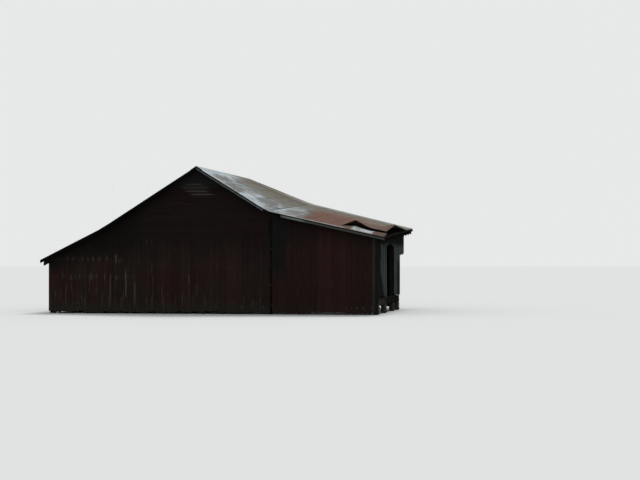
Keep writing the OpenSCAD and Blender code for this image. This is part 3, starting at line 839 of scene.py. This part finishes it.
class Side:
    """The roof to one side of the ridge, upper and lower slope."""

    def __init__(self, name, out):
        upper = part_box(name + "_upper_roof")
        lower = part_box(name + "_lower_roof")
        self.name = name
        self.out = out
        self.stops = [ridge_x, upper[out > 0].x, lower[out > 0].x]
        edges = zip(("_upper", "_upper", "_lower"), (upper[out < 0].x, *self.stops[1:]))
        self.heights = [
            [seat_at(name + slope + "_roof", x, y) for y in (rake_front, rake_back)]
            for slope, x in edges
        ]

    def reach(self, part):
        """Length of a slope in plan: 0 for the upper one, 1 for the lower one."""
        return abs(self.stops[part + 1] - self.stops[part])

    def seat(self, away, y):
        """Height of the troughs at a distance from the ridge."""
        part = 0 if away < self.reach(0) else 1
        along = (away - part * self.reach(0)) / self.reach(part)
        back = (y - rake_front) / (rake_back - rake_front)
        near, far = (h[0] + (h[1] - h[0]) * back for h in self.heights[part : part + 2])
        return near + (far - near) * along


right = Side("right", 1)
left = Side("left", -1)


# Corrugated sheets: rolled steel, nine corrugations to the cover, each lapped one corrugation
# over the sheet before it, the upper row lapped over the lower. Zinc is left on the front
# part of the right side. The rest has rusted, brown towards the back and red by the eave.
zinc = (0.305, 0.360, 0.392, 1)
zinc_dull = (0.195, 0.215, 0.215, 1)
zinc_dark = (0.078, 0.085, 0.090, 1)
zinc_stain = (0.128, 0.111, 0.117, 1)
clean_zinc_and_highlight = (0.480, 0.500, 0.495, 1)
brown_rust = (0.108, 0.090, 0.070, 1)
tan_rust = (0.215, 0.205, 0.170, 1)
red_rust = (0.190, 0.082, 0.060, 1)
dark_rust = (0.062, 0.042, 0.033, 1)
underside_rust_and_shade = (0.030, 0.019, 0.014, 1)


class Roofing(Finish):
    """Galvanised steel on one side of the ridge, and the patterns that its rust follows."""

    def __init__(self, name, out):
        super().__init__(name, 0.6, 0.25)
        place = self.where()
        x = self.part(place, "X")
        self.away = x - ridge_x if out > 0 else ridge_x - x
        self.back = self.part(place, "Y") - rake_front
        self.tone = self.kept("tone")
        self.runs = self.cloud(self.stretched(place, (0.7, 6.0, 0.7)), 1.0, 7.0, 0.68)
        self.rows = self.cloud(self.stretched(place, (4.2, 0.9, 4.2)), 1.0, 5.0, 0.62)
        self.blots = self.cloud(self.stretched(place, (2.6, 1.5, 2.6)), 1.0, 6.0, 0.66)
        self.threads = self.cloud(self.stretched(place, (0.6, 14.0, 0.6)), 1.0, 4.0, 0.6)
        self.flecks = self.cloud(place, 7.0, 5.0, 0.7)
        ragged = (self.blots - 0.5) * 2.4 + (self.rows - 0.5) * 2.0
        self.ragged = ragged + (self.runs - 0.5) * 4.0 + (self.tone - 0.5) * 0.4
        self.relief(self.cloud(place, 60.0, 4.0), 0.0015, 0.5)
        self.dull()

    def dull(self):
        """Zinc with its dull runs, dark specks and stained spots, calmer by ridge and break."""
        laps = self.rise(abs(self.kept("across") - 0.5), 0.40, 0.49) * 0.30
        tails = self.rise(self.kept("down"), 0.92, 1.0) * 0.12
        calm = self.rise(self.away, 0.55, 0.25) + self.rise(abs(self.away - 1.75), 0.55, 0.25)
        spots = self.rows * 0.40 + self.blots * 0.35 + self.runs * 0.25
        self.spots = self.rise(spots + laps * 0.5 + tails - calm * 0.07, 0.50, 0.64)
        dulled = self.blots * 0.4 + self.runs * 0.5 + self.tone * 0.1 - calm * 0.05
        dulled = dulled + self.rise(self.away, 2.2, 3.0) * 0.08
        darker = self.rows * 0.3 + self.flecks * 0.35 + self.threads * 0.35 - calm * 0.04
        self.colour(self.blend(self.rise(dulled, 0.40, 0.58), zinc, zinc_dull))
        self.lay(self.rise(darker, 0.50, 0.60) * 0.65, zinc_dark)
        self.lay(self.spots * 0.75, zinc_stain)

    def rust(self, rusty, red):
        """Rust where the zinc has gone: brown and tan in bands down the slope, red over it."""
        bands = self.rows * 0.15 + self.runs * 0.40 + self.threads * 0.25 + self.tone * 0.20
        specks = self.flecks * 0.4 + self.blots * 0.3 + self.threads * 0.3
        colour = self.blend(self.rise(bands, 0.43, 0.57), brown_rust, tan_rust)
        for amount, over in (
            (self.rise(specks, 0.53, 0.63) * 0.5, zinc_dull),
            (red * (0.70 + 0.20 * self.tone + (self.runs - 0.5) * 0.6), red_rust),
            (self.rise(self.rows * 0.5 + self.flecks * 0.5, 0.52, 0.64) * 0.55, dark_rust),
            (self.rise(self.runs * 0.5 + self.rows * 0.5, 0.46, 0.36) * 0.40, tan_rust),
        ):
            colour = self.blend(amount, colour, over)
        self.lay(rusty, colour)

    def close(self, rusty):
        """Rust and painted shade on the underside, and the shine of the zinc that is left."""
        facing = self.add("ShaderNodeTexCoord", {}, {}, "Normal")
        # Painted shade and rust: faces that look down go dark
        self.lay(self.rise(self.part(facing, "Z"), 0.15, -0.15) * 0.9, underside_rust_and_shade)
        clean = (1 - rusty) * (1 - self.spots)
        self.feed(self.shader.inputs["Metallic"], clean * 0.30)
        self.feed(self.shader.inputs["Roughness"], 0.90 - clean * 0.35)
        return self.material


# The right side keeps its zinc on the front half, further back along the ridge and where the
# slopes meet. The first sheet has a clean strip beside the buckle.
steel = Roofing("rusting_zinc_right", 1)
away, back, ragged, flecks = steel.away, steel.back, steel.ragged, steel.flecks
line = 5.0 - 1.5 * steel.rise(away, 0.15, 0.75) - 0.5 * steel.rise(away, 1.0, 1.6)
line = line + 1.2 * steel.rise(away, 2.2, 2.5) - 1.0 * steel.rise(away, 2.8, 3.1)
slipped = away + back * 0.075 + (steel.runs - 0.5) * 0.9 + (steel.blots - 0.5) * 0.8
strip = steel.rise(abs(away - 5.38) + (flecks - 0.5) * 0.3, 0.40, 0.30)
strip = strip * steel.rise(back, 0.615, 0.600)
rusty = steel.rise(back - line + ragged, -1.7, 1.3).more_than(steel.rise(slipped, 3.24, 3.44))
rusty = rusty * (1 - strip * 0.9)
red = steel.rise(slipped, 3.34, 3.62) * steel.rise(back + ragged * 0.6, 6.9, 4.7)
red = red * (1 - 0.45 * steel.rise(away, 4.6, 4.9))

# Dark marks on the zinc, where it has begun to go: how far from the ridge and from the front
# edge each lies, half its width and half its length, and how dark it is
for far, deep, half_w, half_l, share in (
    (0.58, 1.30, 0.24, 0.85, 0.90),
    (1.10, 0.75, 0.26, 0.80, 1.00),
    (1.26, 2.40, 0.22, 0.70, 0.70),
    (1.98, 1.80, 0.24, 0.90, 0.95),
    (2.84, 2.20, 0.22, 0.75, 1.00),
    (3.06, 1.00, 0.24, 0.80, 0.75),
):
    aside = (away - far) / half_w
    behind = (back - deep) / half_l
    off = aside * aside + behind * behind + (flecks - 0.5) * 3.0 + (steel.runs - 0.5) * 6.0
    mark = steel.rise(off + (steel.blots - 0.5) * 4.0, 1.6, 0.4)
    steel.lay(mark * share, steel.blend(steel.threads, zinc_dark, zinc_stain))
steel.rust(rusty, red)
steel.lay(strip * steel.rise(steel.runs, 0.42, 0.56) * 0.42, clean_zinc_and_highlight)
# Painted highlight: a bright band along the front edge of the sheets
front_rim_highlight = steel.rise(back + (flecks - 0.5) * 0.30 + (steel.rows - 0.5) * 0.20, 0.19, 0.08)
steel.lay(front_rim_highlight * steel.rise(away, 5.0, 4.6) * 0.65, clean_zinc_and_highlight)
# Painted highlight: a bright band along the back edge of the sheets
back_rim_highlight = steel.rise(back + ragged * 0.3, 7.0, 7.6) * steel.rise(away, 1.0, 1.6)
steel.lay(back_rim_highlight * 0.5, clean_zinc_and_highlight)
right_roofing = steel.close(rusty)

steel = Roofing("rusting_zinc_left", -1)
rusty = steel.rise(steel.back * 0.16 + steel.away * 0.11 + steel.ragged * 0.35, 0.85, 1.35)
steel.rust(rusty, steel.rise(steel.away + steel.ragged, 3.4, 4.4) * 0.7)
left_roofing = steel.close(rusty)

wave_steps = 8
flat_cuts = 10
twist_cuts = 12
bend_cuts = 30
sheet_waves = 9
lap_waves = 1
lap_lift = 0.0033
row_lift = 0.0042
row_ramp = 0.03
row_lap = 0.085
row_gap = 0.003
sheet_gauge = 0.0012
sheet_dent = 0.0021
sheet_slip = 0.012


def modify(piece, kind, **settings):
    """Applies a modifier to a piece."""
    choose(piece)
    modifier = piece.modifiers.new(kind, kind)
    for name, value in settings.items():
        setattr(modifier, name, value)
    bpy.ops.object.modifier_apply(modifier=modifier.name)


def corrugation(name, waves, pieces):
    """A flat sheet with its corrugations, one unit long, at its real width and depth."""
    bpy.ops.mesh.primitive_grid_add(
        x_subdivisions=pieces, y_subdivisions=wave_steps, size=1, location=(0.5, 0.5, 0)
    )
    sheet = settle(bpy.context.object, name)
    for corner in sheet.data.vertices:
        corner.co.z = wave_depth * (1 - math.cos(2 * math.pi * (corner.co.y - trough_at))) / 2
        corner.co.y *= wave_w
    step = {"use_constant_offset": True, "constant_offset_displace": (0, wave_w, 0)}
    merge = {"use_merge_vertices": True, "merge_threshold": 0.0005}
    modify(sheet, "ARRAY", count=waves, use_relative_offset=False, **step, **merge)
    return sheet


def joint_y(number):
    """Where a sheet begins, as each covers nine corrugations."""
    return rake_front + number * sheet_waves * wave_w


def thicken(piece, smooth_to):
    """Gives rolled sheet its gauge, keeps its ends in line with the rakes, and smooths it."""
    modify(piece, "SOLIDIFY", thickness=sheet_gauge, offset=-1)
    for corner in piece.data.vertices:
        corner.co.y = min(max(corner.co.y, rake_front), rake_back)
    bpy.ops.object.shade_smooth_by_angle(angle=math.radians(smooth_to))


def sheets(name, side, start, end, pieces, lift=0.0, only=None, without=None, bend=None):
    """A row of lapped sheets between two distances from the ridge."""
    number = math.ceil((all_waves - lap_waves) / sheet_waves)
    pick_of = random.Random(name)
    row = []
    for i in range(number):
        waves = min(sheet_waves + lap_waves, all_waves - i * sheet_waves)
        tone = pick_of.random()
        shift = pick_of.uniform(0, sheet_slip)
        if i == without or only not in (None, i):
            continue
        sheet = corrugation("sheet_pattern", waves, pieces)
        corners = sheet.data.vertices
        carry_all(sheet, {"tone": tone})
        carry(sheet, "across", [corner.co.y / wave_w / waves for corner in corners])
        carry(sheet, "down", [corner.co.x for corner in corners])
        for corner in corners:
            y = joint_y(i) + corner.co.y
            away = start + (end - start - shift) * corner.co.x
            covered = (sheet_waves - corner.co.y / wave_w) / (sheet_waves - lap_waves)
            dent = sheet_dent * abs(noise.noise(Vector((away * 1.7, y * 2.5, i * 3.0))))
            z = side.seat(away, y) + corner.co.z + dent
            z += lap_lift * min(1, max(0, covered)) if i else 0
            z += lift * min(1, max(0, (away - side.reach(0) + row_ramp) / row_ramp))
            z += bend(i, away, y) if bend else 0
            corner.co = (ridge_x + side.out * away, y, z)
        row.append(sheet)
    piece = joined(name, row)
    if side.out < 0:
        pick(piece)
        bpy.ops.mesh.flip_normals()
        shut()
    thicken(piece, 50)
    return piece


left_break = left.reach(0)
left_end = left_break + left.reach(1)
row = sheets("left_lower_sheets", left, left_break + row_gap, left_end, flat_cuts)
dress(row, left_roofing, "galvanised_roof", "left_lower_roof")
row = sheets("left_upper_sheets", left, row_gap, left_break + row_lap, flat_cuts, lift=row_lift)
dress(row, left_roofing, "galvanised_roof", "left_upper_roof")


# Lifted sheets: at the right eave the wind has got under the roof. Nails have drawn along one
# joint, where the next sheet has buckled and stands open, and the sheets behind it are bent
# up together, less and less towards the back.
right_break = right.reach(0)
right_end = right_break + right.reach(1)
lifted_at = 1
lifted_from = right_end - 1.51
buckle_at = right_end - 1.01
fold_at = right_end - 0.57
lifted_rise = 0.15
buckle_rise = 0.30
strip_rise = 0.08
strip_pull = 0.07
curl_rise = 0.20
curl_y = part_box("front_wall_main")[0].y + 2.4
open_y = joint_y(lifted_at)
raised_end = joint_y(10)


def between(value, *stops):
    """Height at a value of the bent line through the stops."""
    for (low, under), (high, over) in zip(stops, stops[1:]):
        if value < high:
            return under + (over - under) * max(0, value - low) / (high - low)
    return stops[-1][1]


def blown(sheet, away, y):
    """How far the wind has raised a sheet, at a distance from the ridge and a place along it."""
    if sheet < lifted_at:
        share = between(y, (rake_front, 0), (open_y, 1))
        pulled = strip_pull * between(away, (lifted_from, 0), (buckle_at, 1), (fold_at, 0))
        return share * (strip_rise * between(away, (lifted_from, 0), (right_end, 1)) + pulled)
    risen = lifted_rise * between(away, (lifted_from, 0), (fold_at, 1))
    curled = curl_rise * between(away, (fold_at, 0), (right_end, 1))
    top = buckle_rise - lifted_rise * (buckle_at - lifted_from) / (fold_at - lifted_from)
    buckled = top * between(away, (lifted_from, 0), (buckle_at, 1), (fold_at, 0))
    return (
        risen * between(y, (open_y, 1), (raised_end, 0))
        + curled * between(y, (open_y, 0), (curl_y, 1), (raised_end, 0))
        + buckled * between(y, (open_y, 1), (joint_y(lifted_at + 1), 0)) ** 2
    )


lower_row = (right, right_break + row_gap, right_end, bend_cuts)
row = sheets("right_lower_sheets", *lower_row, without=lifted_at, bend=blown)
dress(row, right_roofing, "rusty_roof", "right_lower_roof")
upper_row = (right, row_gap, right_break + row_lap, twist_cuts)
row = sheets("right_upper_sheets", *upper_row, lift=row_lift)
dress(row, right_roofing, "galvanised_roof", "right_upper_roof")
lifted = sheets("lifted_loose_sheet", *lower_row, only=lifted_at, bend=blown)
dress(lifted, right_roofing, "rusty_roof", "lifted_sheet")


# Ridge cap: sheet steel bent over the ridge in three lapped lengths, a wing down each slope,
# its edges turned down and dented.
cap_low, cap_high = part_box("ridge_cap")
cap_wing = (cap_high.x - cap_low.x) / 2
cap_parts = 3
cap_over = 0.10
cap_steps = 24
cap_hem = 0.008
cap_dent = 0.0012
cap_lift = 0.0016
cap_under = 0.0025
cap_sunk = 0.0035
cap_bends = (-1.0, -0.97, -0.5, -0.06, 0.0, 0.06, 0.5, 0.97, 1.0)
cap_drop = cap_high.z - cap_under - max(right.seat(0, y) for y in (rake_front, rake_back))
cap_l = (rake_back - rake_front + cap_over * (cap_parts - 1)) / cap_parts
lengths = []
for part in range(cap_parts):
    bpy.ops.mesh.primitive_grid_add(
        x_subdivisions=len(cap_bends) - 1, y_subdivisions=cap_steps, size=1, location=(0, 0, 0)
    )
    length = bpy.context.object
    carry_all(length, {"tone": 0.3 + 0.2 * part, "across": 0.5, "down": 0.5})
    for corner in length.data.vertices:
        at = cap_bends[round((corner.co.x + 0.5) * (len(cap_bends) - 1))]
        along = corner.co.y + 0.5
        y = rake_front + part * (cap_l - cap_over) + cap_l * along
        z = (right if at >= 0 else left).seat(abs(at) * cap_wing, y) + cap_drop - cap_sunk
        z += cap_lift * max(0.0, 1 - along * 3) if part else 0
        z -= cap_dent * abs(at * noise.noise(Vector((at * 3, y * 2.2, part))))
        z -= cap_hem if abs(at) == 1.0 else 0
        corner.co = (ridge_x + at * cap_wing, y, min(z, cap_high.z - 0.0005))
    lengths.append(length)
cap = joined("bent_ridge_cap", lengths)
thicken(cap, 30)
dress(cap, right_roofing, "galvanised_roof", "ridge_cap")


# Rake boards: planks on edge under the ends of the roof, nailed to the purlins. Their paint
# is gone, they have warped a little, and a stretch of the front right one is lost.
rake_t = 0.022
rake_d = 0.095
rake_under = 0.0008
rake_in = 0.004
rake_warp = 0.0035
rake_sag = 0.006
rake_round = 0.003
rake_pale = (0.290, 0.310, 0.285, 1)
rake_silver = (0.160, 0.183, 0.178, 1)
rake_slate = (0.110, 0.128, 0.124, 1)
rake_brown = (0.088, 0.086, 0.076, 1)
rake_left_shade = (0.0060, 0.0065, 0.0060, 1)
rake_plank = plank("rake_pattern", (14, 0, 2))
rake_wood, place = bare("rake_boards", "X", rake_silver, rake_slate)
x = rake_wood.part(place, "X")
upper_edge_shadow = rake_wood.kept("up") + (rake_wood.cloud(place, 9.0) - 0.5) * 0.2
by_break = rake_wood.rise(x, 2.3, 2.6) * rake_wood.rise(x, 3.3, 3.0)
rake_wood.lay(by_break * 0.75, rake_pale)
rake_wood.lay(rake_wood.rise(x, 3.0, 3.3) * 0.80, rake_brown)
# Painted shadow: the top of each board goes black under the ends of the sheets
rake_wood.lay(rake_wood.rise(upper_edge_shadow, 0.52, 0.68) * 0.9, soot_and_shade)
# Painted shade: the rake boards left of the ridge are near black
rake_wood.lay(rake_wood.rise(x, ridge_x + 0.02, ridge_x - 0.02), rake_left_shade)


def rake_boards(name, seed, node, y):
    """A plank under each slope's end, along each stretch that its node has."""
    pick_of = random.Random(seed)
    spots = []
    for stretch in stretches(corner.x for corner in node_corners(node)):
        ends = []
        for x in stretch:
            seat = (right if x > ridge_x else left).seat(abs(x - ridge_x), max(y, rake_front))
            ends.append(Vector((x, y, seat - rake_under - rake_d)))
        shape = Matrix((ends[1] - ends[0], (0, rake_t, 0), (0, 0, rake_d))).transposed().to_4x4()
        spots.append((Matrix.Translation(ends[0]) @ shape, {"tone": pick_of.random()}))
    piece = set_out(name, rake_plank, spots)
    for corner in piece.data.vertices:
        corner.co.y += rake_warp * noise.noise(corner.co * 1.7)
        corner.co.z -= rake_sag * abs(noise.noise(corner.co * 2.9))
    ease_edges(piece, rake_round)
    return piece


back_y = rake_back - rake_t - rake_in
for end, seed, y in (("front", 41, rake_front + rake_in), ("back", 42, back_y)):
    node = end + "_rake_boards"
    planks = rake_boards(end + "_rakes", seed, node, y)
    dress(planks, rake_wood.material, "grey_boards", node)


# Nails: wire nails in the boards, and lead-headed roofing nails through every third crest
# over each purlin, a few of them lost.
nail_dark = (0.045, 0.026, 0.019, 1)
nail_rust = (0.105, 0.068, 0.052, 1)
rusty_nail = Finish("rusty_nail", 0.8, 0.2)
rust_spots = rusty_nail.cloud(rusty_nail.where(), 200.0, 2.0)
rusty_nail.colour(rusty_nail.blend(rust_spots, nail_dark, nail_rust))
bpy.ops.mesh.primitive_cone_add(
    vertices=7, radius1=0.006, radius2=0.004, depth=0.004, location=(0, 0, 0)
)
nail = settle(bpy.context.object, "nail_pattern")
out_of_wall = Matrix.Rotation(math.radians(90), 4, "X")
wall_nails = [(spot @ out_of_wall, {"tone": 0.5}) for spot in all_nails]
board_nails = set_out("board_nails", nail, wall_nails)
dress(board_nails, rusty_nail.material, "frame_timber")

bpy.ops.mesh.primitive_cylinder_add(vertices=8, radius=0.011, depth=0.004, location=(0, 0, 0.002))
roof_nail = settle(bpy.context.object, "roof_nail_pattern")
pick(roof_nail, "FACE", lambda face: face.normal.z > 0.9)
bpy.ops.mesh.inset(thickness=0.006)
bpy.ops.transform.translate(value=(0, 0, 0.0025))
shut()
nail_above = 0.0025
first_crest = 2
crests_between = 3
nails_lost = 0.06
crest_spots = []
for side in (left, right):
    for slope in ("_upper", "_lower"):
        purlins = node_corners(side.name + slope + "_purlins")
        for near, far in stretches(abs(corner.x - ridge_x) for corner in purlins):
            line = (near + far) / 2
            for wave in range(first_crest, all_waves, crests_between):
                y = rake_front + (wave + trough_at + 1 / 2) * wave_w
                if side is right and line > lifted_from and y < raised_end:
                    continue
                if line < cap_wing or chance.random() < nails_lost:
                    continue
                z = side.seat(line, y) + wave_depth + nail_above
                slope_angle = math.atan2(side.seat(line + 0.1, y) - side.seat(line, y), 0.1)
                turn = Matrix.Rotation(-side.out * slope_angle, 4, "Y")
                crest = Matrix.Translation((ridge_x + side.out * line, y, z))
                crest_spots.append((crest @ turn, {"tone": 0.5}))
sheet_nails = set_out("roof_nails", roof_nail, crest_spots)
dress(sheet_nails, rusty_nail.material, "rusty_roof")

for pattern in (sill_pattern, stone, nail, roof_nail, upright, lap, rake_plank):
    bpy.data.objects.remove(pattern)
